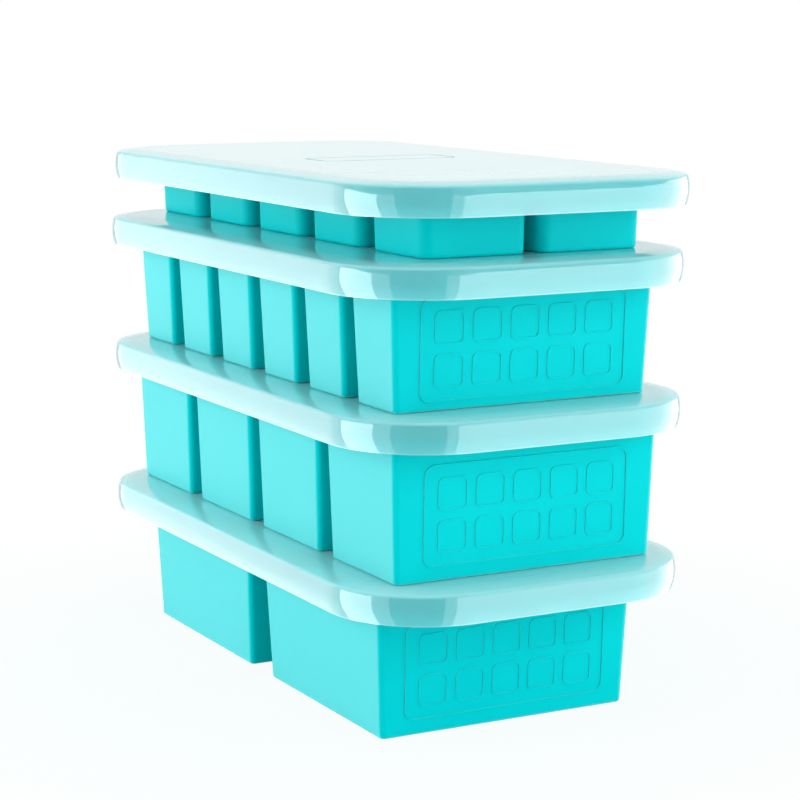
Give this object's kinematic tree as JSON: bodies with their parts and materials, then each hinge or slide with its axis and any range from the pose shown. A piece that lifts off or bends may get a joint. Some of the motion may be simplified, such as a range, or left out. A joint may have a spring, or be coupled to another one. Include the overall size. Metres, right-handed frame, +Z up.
{
  "type": "baby food freezer tray set",
  "caption": "Stack of moulded silicone freezer trays with drafted cups hung from a wire-stiffened rim, each under a translucent snap-over lid.",
  "frame": {"origin": "middle of the stack's outline, on the surface that the lowest tray stands on", "axes": "+X along the trays, towards the short end with a raised frame that the picture shows; -Y is the long side that it shows; +Z up"},
  "size_m": [0.275, 0.1412, 0.2003],
  "materials": {
    "silicone": "smooth satin silicone",
    "lid": "translucent gloss",
    "rim_wire": "drawn wire"
  },
  "bodies": {
    "two_cup_tray": {"two_cup_tray": "silicone", "two_cup_rim_wire": "rim_wire"},
    "two_cup_lid": {"two_cup_lid": "lid"},
    "one_cup_tray": {"one_cup_tray": "silicone", "one_cup_rim_wire": "rim_wire"},
    "one_cup_lid": {"one_cup_lid": "lid"},
    "half_cup_tray": {"half_cup_tray": "silicone", "half_cup_rim_wire": "rim_wire"},
    "half_cup_lid": {"half_cup_lid": "lid"},
    "two_spoon_tray": {"two_spoon_tray": "silicone", "two_spoon_rim_wire": "rim_wire"},
    "two_spoon_lid": {"two_spoon_lid": "lid"}
  },
  "joints": [
    {"name": "two_cup_lid_lift", "type": "slide", "parent": "two_cup_tray", "child": "two_cup_lid", "axis": [0, 0, 1], "range_m": [0, 0.06]},
    {"name": "one_cup_tray_lift", "type": "slide", "parent": "two_cup_lid", "child": "one_cup_tray", "axis": [0, 0, 1], "range_m": [0, 0.04]},
    {"name": "one_cup_lid_lift", "type": "slide", "parent": "one_cup_tray", "child": "one_cup_lid", "axis": [0, 0, 1], "range_m": [0, 0.06]},
    {"name": "half_cup_tray_lift", "type": "slide", "parent": "one_cup_lid", "child": "half_cup_tray", "axis": [0, 0, 1], "range_m": [0, 0.04]},
    {"name": "half_cup_lid_lift", "type": "slide", "parent": "half_cup_tray", "child": "half_cup_lid", "axis": [0, 0, 1], "range_m": [0, 0.06]},
    {"name": "two_spoon_tray_lift", "type": "slide", "parent": "half_cup_lid", "child": "two_spoon_tray", "axis": [0, 0, 1], "range_m": [0, 0.04]},
    {"name": "two_spoon_lid_lift", "type": "slide", "parent": "two_spoon_tray", "child": "two_spoon_lid", "axis": [0, 0, 1], "range_m": [0, 0.06]}
  ]
}
